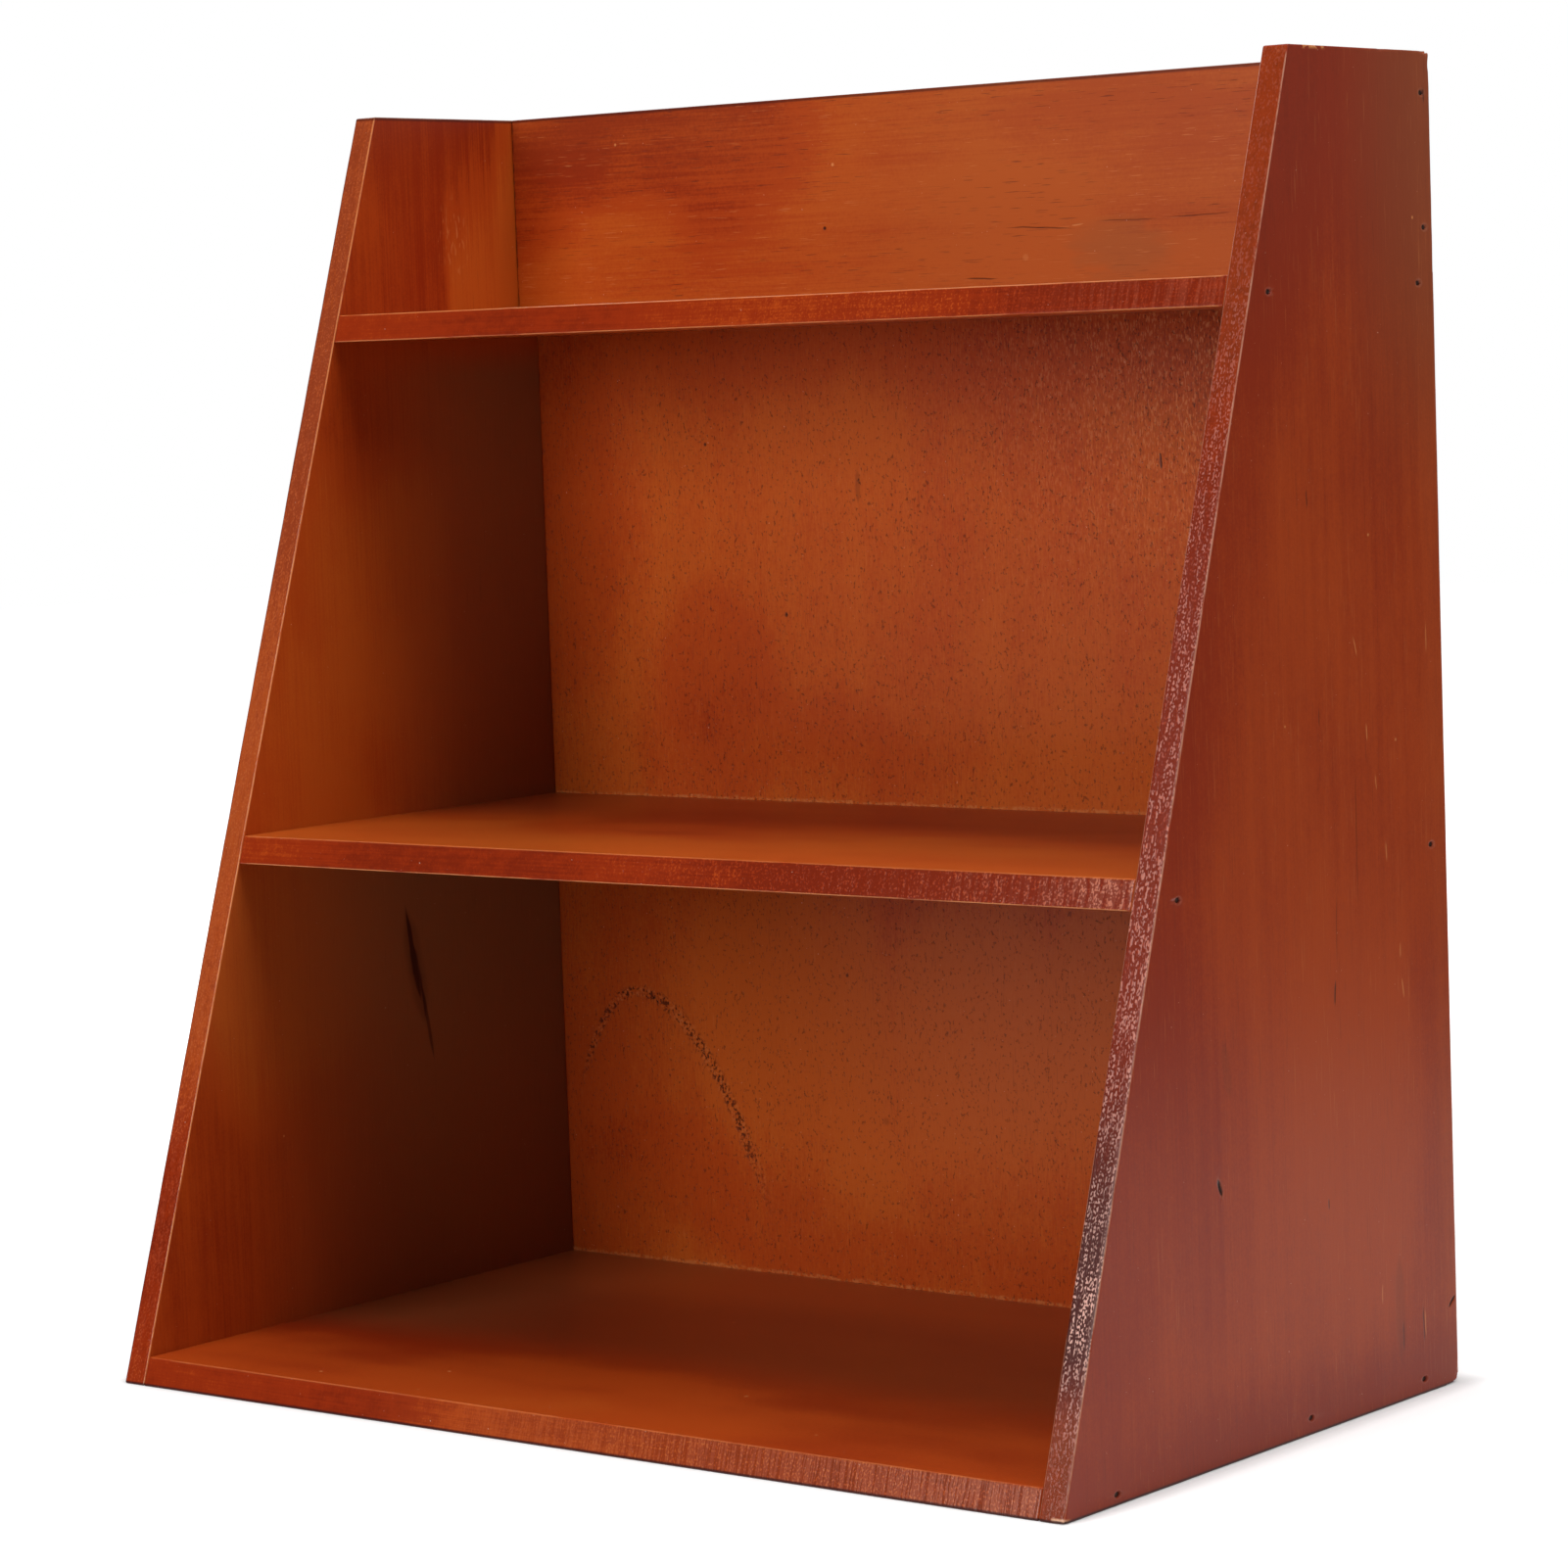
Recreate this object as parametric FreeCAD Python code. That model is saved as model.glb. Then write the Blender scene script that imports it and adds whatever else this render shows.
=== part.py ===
import FreeCAD, Part
import os

from FreeCAD import Placement, Rotation, Vector

# Slant-front desktop display shelf: two side boards, three shelves, an upper back rail and a thin back
# panel, butt jointed and held by brads. Millimetres, +Z up, the front towards -Y. The origin is on the
# floor, under the middle of the overall box.

# Driving dimensions of the case
overall_width = 350.0
side_height = 384.6
side_base_depth = 199.8
side_top_depth = 74.2
side_thickness = 8.3
shelf_thickness = 8.5
lower_compartment_height = 145.8
rail_height = 62.3
rail_thickness = 9.2
back_panel_thickness = 3.0
back_panel_inset = 1.8
arris_radius = 0.6

# Brads: a flat head on a thin shank with a chisel point
brad_head_length = 2.2
brad_head_width = 1.3
brad_head_thickness = 0.6
brad_shank_width = 1.2
brad_shank_thickness = 1.0
brad_point_length = 2.0
brad_point_width = 0.3
side_brad_length = 20.0
side_brad_set = 0.8
back_brad_length = 15.0
back_brad_set = 0.2
cut_overrun = 2.0

# Places of the brads that hold a shelf's ends, measured from the shelf's front and back edges
bottom_brad_front_setback = 25.0
bottom_brad_rear_setback = 18.8
upper_brad_front_setback = 10.6
upper_brad_rear_setback = 8.4

# Each pair is how far a brad lies from the front brad to the rear one, and how high in the board's edge
bottom_brad_shares = [(0.0, 0.36), (0.61, 0.57), (1.0, 0.51)]
middle_brad_shares = [(0.0, 0.27), (1.0, 0.49)]
top_brad_shares = [(0.0, 0.42), (1.0, 0.61)]
rail_brad_height_shares = [0.2, 0.81]

# The back panel's brads: across the width behind each shelf, and up each compartment behind each side
back_brad_width_shares = [-0.36, 0.0, 0.36]
back_brad_height_shares = [0.18, 0.82]

# Levels and faces that follow from the driving dimensions
overall_depth = side_base_depth + back_panel_thickness
front_y = -overall_depth / 2
back_y = front_y + side_base_depth
inner_x = overall_width / 2 - side_thickness
inner_width = 2 * inner_x
middle_shelf_top = shelf_thickness + lower_compartment_height + shelf_thickness
top_shelf_top = side_height - rail_height
shelf_tops = {"bottom": shelf_thickness, "middle": middle_shelf_top, "top": top_shelf_top}
side_signs = {"left": -1, "right": 1}


def slant_y(height):
    """Y of the slanted front at a height: a straight line from the base's front to the top's front."""
    lean = (side_base_depth - side_top_depth) / side_height
    return front_y + lean * height


def board(outline, start_x, length):
    """Prism along X of an outline drawn in the YZ plane."""
    corners = [Vector(start_x, y, z) for y, z in outline]
    face = Part.Face(Part.makePolygon(corners + corners[:1]))
    return face.extrude(Vector(length, 0, 0))


def runs_along_x(edge):
    """Whether a straight edge runs the length of a board that lies along X."""
    return abs(edge.Vertexes[0].X - edge.Vertexes[-1].X) > inner_x


def eased(shape, is_open):
    """The shape with a small round on each edge that is open to the hand."""
    edges = [edge for edge in shape.Edges if is_open(edge)]
    return shape.makeFillet(arris_radius, edges)


def side_panel(sign):
    """Upright side board, wider at the foot, every arris eased."""
    outline = [
        (back_y, 0),
        (front_y, 0),
        (slant_y(side_height), side_height),
        (back_y, side_height),
    ]
    start_x = inner_x if sign > 0 else -inner_x - side_thickness
    return eased(board(outline, start_x, side_thickness), lambda edge: True)


def shelf(top):
    """Shelf between the sides, its front edge bevelled flush with the slant."""
    underside = top - shelf_thickness
    outline = [
        (back_y, underside),
        (slant_y(underside), underside),
        (slant_y(top), top),
        (back_y, top),
    ]
    middle_y = (slant_y(top) + back_y) / 2

    def is_front_arris(edge):
        return runs_along_x(edge) and edge.CenterOfMass.y < middle_y

    return eased(board(outline, -inner_x, inner_width), is_front_arris)


def back_rail():
    """Upper back rail, standing on the top shelf and flush with the tops of the sides."""
    outline = [
        (back_y, top_shelf_top),
        (back_y - rail_thickness, top_shelf_top),
        (back_y - rail_thickness, side_height),
        (back_y, side_height),
    ]
    middle_z = (top_shelf_top + side_height) / 2

    def is_top_arris(edge):
        return runs_along_x(edge) and edge.CenterOfMass.z > middle_z

    return eased(board(outline, -inner_x, inner_width), is_top_arris)


def back_panel():
    """Thin panel over the backs of the sides and shelves, its rear arrises eased."""
    half_width = overall_width / 2 - back_panel_inset
    rear_y = back_y + back_panel_thickness
    outline = [
        (back_y, back_panel_inset),
        (rear_y, back_panel_inset),
        (rear_y, top_shelf_top),
        (back_y, top_shelf_top),
    ]
    middle_y = (back_y + rear_y) / 2

    def is_rear_arris(edge):
        return min(vertex.Y for vertex in edge.Vertexes) > middle_y

    return eased(board(outline, -half_width, 2 * half_width), is_rear_arris)


def brad(length):
    """Brad along +X from the top of its head at the origin, the head's long way along Y."""
    corner = Vector(0, -brad_head_length / 2, -brad_head_width / 2)
    head = Part.makeBox(brad_head_thickness, brad_head_length, brad_head_width, corner)
    shoulder = length - brad_point_length
    half_width = brad_shank_width / 2
    half_point = brad_point_width / 2
    low = -brad_shank_thickness / 2
    corners = [
        Vector(0, -half_width, low),
        Vector(shoulder, -half_width, low),
        Vector(length, -half_point, low),
        Vector(length, half_point, low),
        Vector(shoulder, half_width, low),
        Vector(0, half_width, low),
    ]
    face = Part.Face(Part.makePolygon(corners + corners[:1]))
    shank = face.extrude(Vector(0, 0, brad_shank_thickness))
    return head.fuse(shank).removeSplitter()


def brad_hole(length, set_depth):
    """Room that a driven brad takes: the brad itself and the pocket over its sunk head."""
    reach = set_depth + cut_overrun
    corner = Vector(-reach, -brad_head_length / 2, -brad_head_width / 2)
    pocket = Part.makeBox(reach, brad_head_length, brad_head_width, corner)
    return brad(length).fuse(pocket)


def drive(points, turn, length, set_depth):
    """Brads driven at points on a face, and the holes that they take."""
    inward = turn.multVec(Vector(set_depth, 0, 0))
    brads = []
    taken = []
    for point in points:
        place = Placement(point + inward, turn)
        brads.append(brad(length))
        taken.append(brad_hole(length, set_depth))
        brads[-1].Placement = place
        taken[-1].Placement = place
    return brads, taken


# Boards, by node name
boards = {f"{side}_side_panel": side_panel(sign) for side, sign in side_signs.items()}
boards.update({f"{name}_shelf": shelf(top) for name, top in shelf_tops.items()})
boards["upper_back_rail"] = back_rail()
boards["back_panel"] = back_panel()
holes = {name: [] for name in boards}
brad_groups = {}


def fasten(group, near_board, far_board, driven):
    """Keep a group of brads and note their holes in the two boards that it joins."""
    brads, taken = driven
    brad_groups[group] = brads
    holes[near_board] += taken
    holes[far_board] += taken


def shelf_end_points(name, side_x):
    """Points on a side's outer face where brads enter a shelf's end."""
    underside = shelf_tops[name] - shelf_thickness
    shares = {"bottom": bottom_brad_shares, "middle": middle_brad_shares, "top": top_brad_shares}[name]
    lowest = name == "bottom"
    front_setback = bottom_brad_front_setback if lowest else upper_brad_front_setback
    rear_setback = bottom_brad_rear_setback if lowest else upper_brad_rear_setback
    first_y = slant_y(underside) + front_setback
    last_y = back_y - rear_setback
    return [
        Vector(side_x, first_y + along * (last_y - first_y), underside + height * shelf_thickness)
        for along, height in shares
    ]


# Brads through the sides into the ends of the shelves and of the rail
inward_turns = {
    "left": Rotation(Vector(0, 0, 1), 0),
    "right": Rotation(Vector(0, 0, 1), 180),
}
rail_middle_y = back_y - rail_thickness / 2
for side, sign in side_signs.items():
    side_x = sign * overall_width / 2
    turn = inward_turns[side]
    for name in shelf_tops:
        driven = drive(shelf_end_points(name, side_x), turn, side_brad_length, side_brad_set)
        fasten(f"{side}_brads_{name}_shelf", f"{side}_side_panel", f"{name}_shelf", driven)
    rail_points = [
        Vector(side_x, rail_middle_y, top_shelf_top + share * rail_height)
        for share in rail_brad_height_shares
    ]
    driven = drive(rail_points, turn, side_brad_length, side_brad_set)
    fasten(f"{side}_brads_back_rail", f"{side}_side_panel", "upper_back_rail", driven)

# Brads through the back panel into the shelves, heads lying across the width
panel_rear_y = back_y + back_panel_thickness
across_turn = Rotation(Vector(0, 0, 1), -90)
for name, top in shelf_tops.items():
    points = [
        Vector(share * inner_width, panel_rear_y, top - shelf_thickness / 2)
        for share in back_brad_width_shares
    ]
    driven = drive(points, across_turn, back_brad_length, back_brad_set)
    fasten(f"back_brads_{name}_shelf", "back_panel", f"{name}_shelf", driven)

# Brads through the back panel into the sides, heads lying upright
upright_turn = across_turn.multiply(Rotation(Vector(1, 0, 0), 90))
compartments = [
    (shelf_thickness, middle_shelf_top - shelf_thickness),
    (middle_shelf_top, top_shelf_top - shelf_thickness),
]
for side, sign in side_signs.items():
    edge_x = sign * (inner_x + side_thickness / 2)
    points = [
        Vector(edge_x, panel_rear_y, low + share * (high - low))
        for low, high in compartments
        for share in back_brad_height_shares
    ]
    driven = drive(points, upright_turn, back_brad_length, back_brad_set)
    fasten(f"back_brads_{side}_side", "back_panel", f"{side}_side_panel", driven)

# One file for each node: a board with its brad holes, or a group of brads
os.makedirs("parts", exist_ok=True)
for name, shape in boards.items():
    drilled = shape.cut(holes[name])
    drilled.exportStep(f"parts/{name}.step")
for name, brads in brad_groups.items():
    Part.makeCompound(brads).exportStep(f"parts/{name}.step")
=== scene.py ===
import math

import bpy
import numpy as np
from mathutils import Matrix, Vector


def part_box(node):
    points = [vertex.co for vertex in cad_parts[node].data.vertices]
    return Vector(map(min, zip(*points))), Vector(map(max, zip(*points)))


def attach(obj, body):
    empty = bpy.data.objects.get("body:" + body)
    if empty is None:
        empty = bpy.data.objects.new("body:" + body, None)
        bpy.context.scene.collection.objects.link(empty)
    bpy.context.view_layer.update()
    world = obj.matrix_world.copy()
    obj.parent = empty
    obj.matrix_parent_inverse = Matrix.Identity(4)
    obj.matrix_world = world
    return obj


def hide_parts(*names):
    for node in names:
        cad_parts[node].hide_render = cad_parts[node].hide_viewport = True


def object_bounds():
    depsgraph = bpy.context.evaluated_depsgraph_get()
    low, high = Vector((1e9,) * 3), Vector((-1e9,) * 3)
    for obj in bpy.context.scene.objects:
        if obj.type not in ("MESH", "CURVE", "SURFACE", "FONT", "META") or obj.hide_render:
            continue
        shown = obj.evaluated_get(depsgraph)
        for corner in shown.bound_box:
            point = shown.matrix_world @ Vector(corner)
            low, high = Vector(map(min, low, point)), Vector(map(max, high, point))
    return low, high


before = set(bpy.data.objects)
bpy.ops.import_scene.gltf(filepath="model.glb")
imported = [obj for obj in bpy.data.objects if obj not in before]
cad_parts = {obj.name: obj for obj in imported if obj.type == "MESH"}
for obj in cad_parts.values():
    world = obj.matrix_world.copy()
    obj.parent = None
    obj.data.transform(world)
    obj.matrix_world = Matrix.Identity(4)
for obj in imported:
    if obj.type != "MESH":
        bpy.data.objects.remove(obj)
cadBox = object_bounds()
mm = 0.001
scene = bpy.context.scene
print("frame loaded:", len(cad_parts), "nodes")

# the slanted front is one straight line in Y and Z, through the lower front arrises of two shelves
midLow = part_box("middle_shelf")[0]
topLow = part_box("top_shelf")[0]
lean = (topLow.y - midLow.y) / (topLow.z - midLow.z)   # metres back for each metre up
frontAtFloor = midLow.y - lean * midLow.z


# noise on points: a sum of sine waves of random direction and phase, about -1 to 1
def waves(points, length, seed, count=16):
    draw = np.random.default_rng(seed)
    way = draw.normal(size=(count, 3))
    way /= np.linalg.norm(way, axis=1)[:, None]
    pitch = 2 * math.pi / (length * draw.uniform(0.6, 1.6, (count, 1)))
    return np.sin(points @ (way * pitch).T + draw.uniform(0, 2 * math.pi, count)).sum(1) / math.sqrt(count)


# grid lines on one axis: close at both ends, even between, close again round each mark
def gridLines(low, high, step, marks):
    nearEnd = np.array([0, 0.1, 0.2, 0.32, 0.46, 0.62, 0.85, 1.2, 1.8, 2.8, 4]) * mm
    nearMark = np.array([-2.1, -1.5, -1.2, -1, -0.8, -0.55, 0, 0.55, 0.8, 1, 1.2, 1.5, 2.1]) * mm
    even = np.linspace(low, high, max(round((high - low) / step), 2) + 1)
    lines = np.concatenate([even, low + nearEnd, high - nearEnd] + [mark + nearMark for mark in marks])
    lines = np.unique(np.clip(lines, low, high).round(6))
    closest = 0.07 * mm
    keep = np.concatenate([[True], np.diff(lines) > closest])
    keep[-1] = True
    return lines[keep]


# closed box of quads on three sets of grid lines: six sheets of one lattice, each wound to face outwards
def latticeBox(xs, ys, zs):
    ids = np.arange(len(xs) * len(ys) * len(zs)).reshape(len(xs), len(ys), len(zs))
    sheets = [ids[0].T, ids[-1], ids[:, 0], ids[:, -1].T, ids[:, :, 0].T, ids[:, :, -1]]
    quads = [np.stack([s[:-1, :-1], s[1:, :-1], s[1:, 1:], s[:-1, 1:]], -1).reshape(-1, 4) for s in sheets]
    used, faces = np.unique(np.concatenate(quads), return_inverse=True)
    i, j, k = np.unravel_index(used, ids.shape)
    return np.stack([xs[i], ys[j], zs[k]], 1), faces.reshape(-1, 4)


# soft step from 0 at start to 1 at end
def softStep(values, start, end):
    t = np.clip((values - start) / (end - start), 0, 1)
    return t * t * (3 - 2 * t)


# middles of a group's brads: its points fall into runs along the group's longest way
def bradSpots(node):
    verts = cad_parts[node].data.vertices
    flat = np.zeros(len(verts) * 3)
    verts.foreach_get("co", flat)
    points = flat.reshape(-1, 3)
    across = points.max(0) - points.min(0)
    across[1 if node.startswith("back") else 0] = 0
    along = points[:, across.argmax()]
    between = 5 * mm   # more than a brad is thick, less than two brads are apart
    runs = np.split(points[along.argsort()], np.flatnonzero(np.diff(np.sort(along)) > between) + 1)
    return np.array([(run.min(0) + run.max(0)) / 2 for run in runs])


def addPiece(name, points, faces, attributes, replaced, material):
    mesh = bpy.data.meshes.new(name)
    mesh.vertices.add(len(points))
    mesh.vertices.foreach_set("co", points.astype(np.float32).ravel())
    mesh.loops.add(faces.size)
    mesh.loops.foreach_set("vertex_index", faces.astype(np.int32).ravel())
    mesh.polygons.add(len(faces))
    mesh.polygons.foreach_set("loop_start", np.arange(0, faces.size, 4, dtype=np.int32))
    mesh.polygons.foreach_set("use_smooth", np.ones(len(faces), bool))
    mesh.update(calc_edges=True)
    for key, values in attributes.items():
        mesh.attributes.new(key, "FLOAT", "POINT").data.foreach_set("value", values.astype(np.float32))
    mesh.validate()
    piece = bpy.data.objects.new(name, mesh)
    scene.collection.objects.link(piece)
    mesh.materials.append(material)
    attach(piece, "root")
    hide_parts(replaced)
    print(name, len(faces) * 2, "triangles")


# all boards, in mm: square stock at the back, ripples of an arris by share and length, its least and most
# radius, half sizes of a brad's head, and how far out, how wide and how high the rim round its pocket is
wear = {
    "square": 4, "slow": 0.12, "slowLong": 26, "quick": 0.08, "quickLong": 5, "quickSeed": 7,
    "chip": 0.5, "chipLong": 2, "chipSeed": 11, "radius": (0.25, 4),
    "head": (1.15, 0.72), "rimAt": 1.55, "rimWide": 0.3, "rimHigh": 0.04,
}


# board: a box with worn arrises, its front sheared back to the slant, a pocket pressed in over each brad
# arrises: a point is pulled to the core box and pushed out again by its own radius, the way that it came
# shear: y moves back by lean times height, in full at the front and not at all at the back
def makeBoard(look, material):
    node = look["node"]
    low, high = (np.array(corner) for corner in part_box(node))
    shear = lean if look["slanted"] else 0
    if look["slanted"]:
        low[1] = frontAtFloor + lean * low[2]
    reach = high[1] - wear["square"] * mm
    depth = reach - low[1] - wear["square"] * mm
    spots = np.zeros((0, 3))
    if look["brads"]:
        spots = np.concatenate([bradSpots(group) for group in look["brads"]])
    marks = spots.copy()
    if look["pits"]:
        marks = np.concatenate([spots, np.array(look["pits"])[:, :3] * mm])
    rise = shear * (marks[:, 2] - low[2]) / depth
    marks[:, 1] = (marks[:, 1] - rise * reach) / (1 - rise)   # back to where the mark lies before the shear
    face = look["face"]
    lines = []
    for axis in range(3):
        near = [] if axis == face else marks[:, axis]
        lines.append(gridLines(low[axis], high[axis], look["step"] * mm, near))
    points, faces = latticeBox(*lines)
    gaps = np.sort(np.minimum(points - low, high - points), axis=1)
    radius = look["arris"] * (1 + wear["slow"] * waves(points, wear["slowLong"] * mm, look["seed"])
                              + wear["quick"] * waves(points, wear["quickLong"] * mm, wear["quickSeed"]))
    for x, y, z, size, more in look["chips"]:
        away = np.linalg.norm((points - np.array([x, y, z]) * mm) / mm, axis=1) / size
        rough = 1 + wear["chip"] * waves(points, wear["chipLong"] * mm, wear["chipSeed"])
        radius += more * np.exp(-away ** 2) * rough
    radius = np.clip(radius, *wear["radius"])[:, None] * mm
    core = np.clip(points, low + radius, high - radius)
    normal = points - core
    normal /= np.linalg.norm(normal, axis=1)[:, None]
    points = core + radius * normal
    share = np.clip((reach - points[:, 1]) / depth, 0, 1)
    points[:, 1] += shear * (points[:, 2] - low[2]) * share
    # pockets: an oval as wide as a brad's head, with a low rim left standing round it
    sink = np.full(len(points), wear["rimHigh"])
    pocket = np.zeros(len(points))
    rim = np.zeros(len(points))
    u, v = [a for a in range(3) if a != face]
    outer = softStep(normal[:, face] * (1 if look["outward"] else -1), 0.5, 0.9)
    headU, headV = wear["head"]
    for spot in spots:
        oval = np.hypot((points[:, u] - spot[u]) / (headU * mm), (points[:, v] - spot[v]) / (headV * mm))
        pocket = np.maximum(pocket, outer * (1 - softStep(oval, 0.8, 1.25)))
        ring = outer * np.exp(-((oval - wear["rimAt"]) / wear["rimWide"]) ** 2)
        rim = np.maximum(rim, ring)
        sink -= wear["rimHigh"] * ring
    sink += look["pocket"] * pocket
    # pits: ovals turned by their tilt
    for x, y, z, long, wide, tilt, deep in look["pits"]:
        turn = math.radians(tilt)
        du = points[:, u] / mm - (x, y, z)[u]
        dv = points[:, v] / mm - (x, y, z)[v]
        along = du * math.sin(turn) + dv * math.cos(turn)
        aside = du * math.cos(turn) - dv * math.sin(turn)
        oval = np.hypot(along / long, aside / wide)
        pit = outer * (1 - softStep(oval, 0.5, 1.1))
        pocket = np.maximum(pocket, pit)
        sink += deep * pit
    points -= normal * sink[:, None] * mm
    edge = softStep(-normal[:, 1], 0.6, 0.9) * look["slanted"]
    attributes = {"arrisGap": gaps[:, 1] / mm, "frontEdge": edge, "pocket": pocket, "rim": rim}
    addPiece(node + "_board", points, faces, attributes, node, material)


# a value in a shader: arithmetic on it adds the node for that step to the tree being built
class Wire:
    tree = None

    def __init__(self, socket):
        self.socket = socket

    # any node: its settings first, then a value or a link for each input
    @classmethod
    def node(cls, kind, output=0, settings=None, inputs=None):
        made = cls.tree.nodes.new(kind)
        for key, value in (settings or {}).items():
            setattr(made, key, value)
        for key, value in (inputs or {}).items():
            if isinstance(value, Wire):
                cls.tree.links.new(value.socket, made.inputs[key])
            else:
                made.inputs[key].default_value = value
        return cls(made.outputs[output]) if made.outputs else None

    @classmethod
    def maths(cls, operation, *values):
        return cls.node("ShaderNodeMath", 0, {"operation": operation}, dict(enumerate(values)))

    def __add__(self, other):
        return Wire.maths("ADD", self, other)

    def __radd__(self, other):
        return Wire.maths("ADD", other, self)

    def __sub__(self, other):
        return Wire.maths("SUBTRACT", self, other)

    def __rsub__(self, other):
        return Wire.maths("SUBTRACT", other, self)

    def __mul__(self, other):
        return Wire.maths("MULTIPLY", self, other)

    def __rmul__(self, other):
        return Wire.maths("MULTIPLY", other, self)

    def __truediv__(self, other):
        return Wire.maths("DIVIDE", self, other)

    def __rtruediv__(self, other):
        return Wire.maths("DIVIDE", other, self)

    def __pow__(self, other):
        return Wire.maths("POWER", self, other)

    def __abs__(self):
        return Wire.maths("ABSOLUTE", self)

    # smooth step from 0 at start to 1 at end, where start may be the larger
    def step(self, start, end):
        return Wire.node("ShaderNodeMapRange", 0, {"interpolation_type": "SMOOTHSTEP"},
                         {"Value": self, "From Min": start, "From Max": end})

    # this much of the way from one colour to another
    def blend(self, first, second):
        first, second = (side if isinstance(side, Wire) else (*side, 1) for side in (first, second))
        return Wire.node("ShaderNodeMix", 2, {"data_type": "RGBA"}, {0: self, 6: first, 7: second})


def newTree(name):
    material = bpy.data.materials.new(name)
    material.use_nodes = True
    Wire.tree = material.node_tree
    Wire.tree.nodes.clear()
    return material


# Object coordinates in mm
def placeInMm():
    coords = Wire.node("ShaderNodeTexCoord", "Object")
    return [Wire.node("ShaderNodeSeparateXYZ", axis, inputs={0: coords}) / mm for axis in "XYZ"]


def attribute(name):
    return Wire.node("ShaderNodeAttribute", "Fac", {"attribute_name": name})


def endTree(shader):
    Wire.node("ShaderNodeOutputMaterial", inputs={"Surface": shader})


# noise with cells of the given size in mm along the three axes
def noise(place, size, seed, detail=2.0, rough=0.5):
    parts = {i: place[i] / size[i] + seed * (3.7 + i) for i in range(3)}
    vector = Wire.node("ShaderNodeCombineXYZ", inputs=parts)
    return Wire.node("ShaderNodeTexNoise", 0, {"noise_dimensions": "3D"},
                     {"Vector": vector, "Scale": 1, "Detail": detail, "Roughness": rough})


# soft oval on two axes: 1 in the middle, 0 at the rim
def oval(first, second, middle, size):
    return (((first - middle[0]) / size[0]) ** 2 + ((second - middle[1]) / size[1]) ** 2).step(1, 0)


# value that goes from one stop's amount to the next one's
def ramp(value, stops):
    total = stops[0][1]
    for (start, before), (end, after) in zip(stops, stops[1:]):
        total = value.step(start, end) * (after - before) + total
    return total


# soft line from start to end: full along its middle, nothing at its half width, narrowing towards its ends
def stroke(first, second, start, end, wide):
    long = math.dist(start, end)
    runU, runV = (end[0] - start[0]) / long, (end[1] - start[1]) / long
    fromU, fromV = first - start[0], second - start[1]
    along = fromU * runU + fromV * runV
    across = abs(fromU * runV - fromV * runU)
    ends = along.step(0, long * 0.35) * along.step(long, long * 0.65)
    return (across / wide + 1 - ends).step(1, 0.4)


# stain from thin to two coats, a brown for painted shade in corners, painted sheen and a dirty patch, wood
# scorched by the saw that also paints near-black shade lines, dark pores, bare wood that also paints glints,
# dust, and painted shade at the bottom of a hole
thinStain = (0.44, 0.082, 0.0092)
evenStain = (0.37, 0.0495, 0.0056)
fullStain = (0.245, 0.0215, 0.0031)
twiceStain = (0.165, 0.0135, 0.0025)
dirtShadeSheenBrown = (0.235, 0.082, 0.027)
scorchedAndShade = (0.045, 0.008, 0.006)
poreBrown = (0.04, 0.008, 0.004)
bareWoodAndGlint = (0.60, 0.22, 0.070)
dustGrey = (0.75, 0.50, 0.36)
holeShade = (0.018, 0.006, 0.003)

# cells of the grain's and the stain's patterns in mm, along and across the grain where there are two
cells = {
    "cloud": (80, 45), "bands": (380, 7), "fibre": 0.7, "grime": (5, 3), "pore": 0.38, "patch": (50, 16),
    "wander": (6, 6, 6), "tooth": (0.9, 0.9, 0.9), "saw": 60, "worn": (12, 12, 12), "dust": (0.9, 0.9, 0.9),
    "peel": (1.2, 1.2, 1.2), "sway": 0.8, "stray": 0.6, "blotSway": 60,
}
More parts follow.
